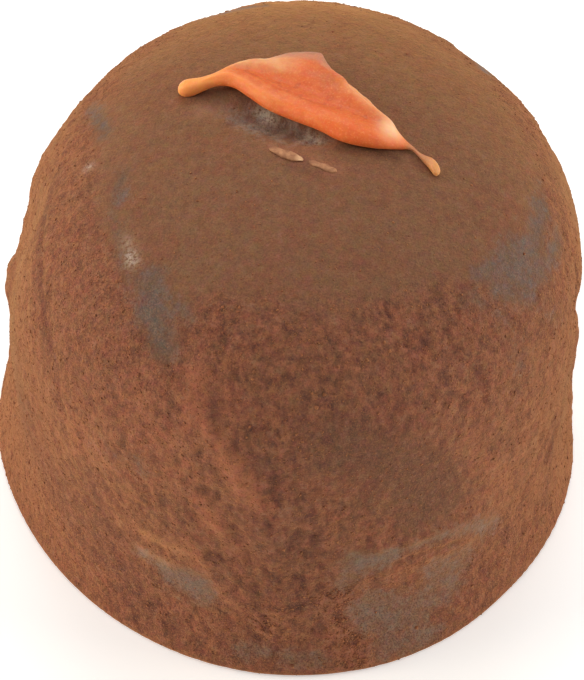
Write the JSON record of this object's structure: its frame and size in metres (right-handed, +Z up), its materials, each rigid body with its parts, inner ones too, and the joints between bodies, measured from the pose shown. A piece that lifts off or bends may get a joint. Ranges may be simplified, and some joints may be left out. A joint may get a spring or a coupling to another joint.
{
  "type": "chocolate truffle",
  "caption": "Cocoa-dusted chocolate truffle: a short rounded dome on a flat foot, with a thin curl of candied orange on top.",
  "frame": {"origin": "middle of the truffle's footprint, on the surface it stands on", "axes": "+Z up through the crown; +X to the right and -Y towards the viewer, along the curl's better side"},
  "size_m": [0.0292, 0.0298, 0.0231],
  "materials": {
    "cocoa": "dry cocoa powder over dark chocolate, matte and slightly grainy",
    "orange": "soft satin candied orange"
  },
  "bodies": {
    "root": {"truffle": "cocoa", "orange_curl": "orange", "orange_sliver_1": "orange", "orange_sliver_2": "orange"}
  },
  "joints": []
}
